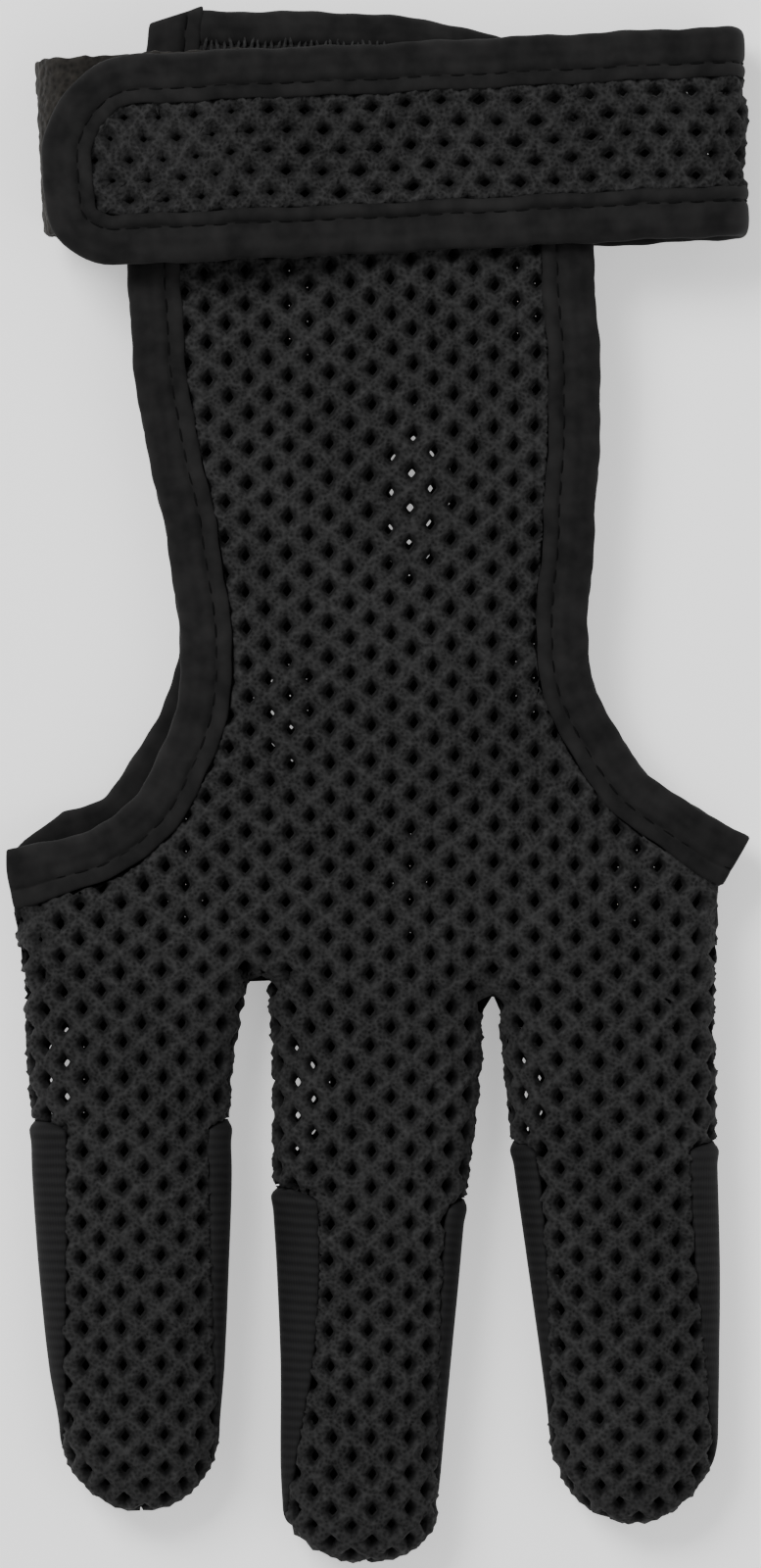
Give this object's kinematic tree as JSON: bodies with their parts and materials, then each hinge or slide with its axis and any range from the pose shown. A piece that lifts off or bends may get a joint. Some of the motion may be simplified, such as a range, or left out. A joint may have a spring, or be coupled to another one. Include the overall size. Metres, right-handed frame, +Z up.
{
  "type": "three-finger archery glove",
  "caption": "Archery glove of black air mesh with hollow finger stalls, smooth palm-side facings, taped edges and a closed wrist strap, lying flat.",
  "frame": {"origin": "middle of the foot of the glove as it lies, on the surface it rests on", "axes": "+Y from the fingertips to the wrist, +Z up out of the back of the hand, +X to the right as seen from above"},
  "size_m": [0.1078, 0.2226, 0.0171],
  "materials": {
    "air_mesh": "open air mesh",
    "tape": "fine woven tape",
    "facing": "smooth ribbed cloth",
    "pile": "loop pile"
  },
  "bodies": {
    "root": {"back_panel": "air_mesh", "palm_panel": "air_mesh", "left_finger_facing": "facing", "middle_finger_facing": "facing", "right_finger_facing": "facing", "back_left_binding": "tape", "back_right_binding": "tape", "back_wrist_binding": "tape", "palm_left_binding": "tape", "palm_right_binding": "tape", "palm_wrist_binding": "tape", "strap_mesh": "air_mesh", "strap_binding": "tape", "pile_strip": "pile", "hook_patch": "pile"}
  },
  "joints": []
}
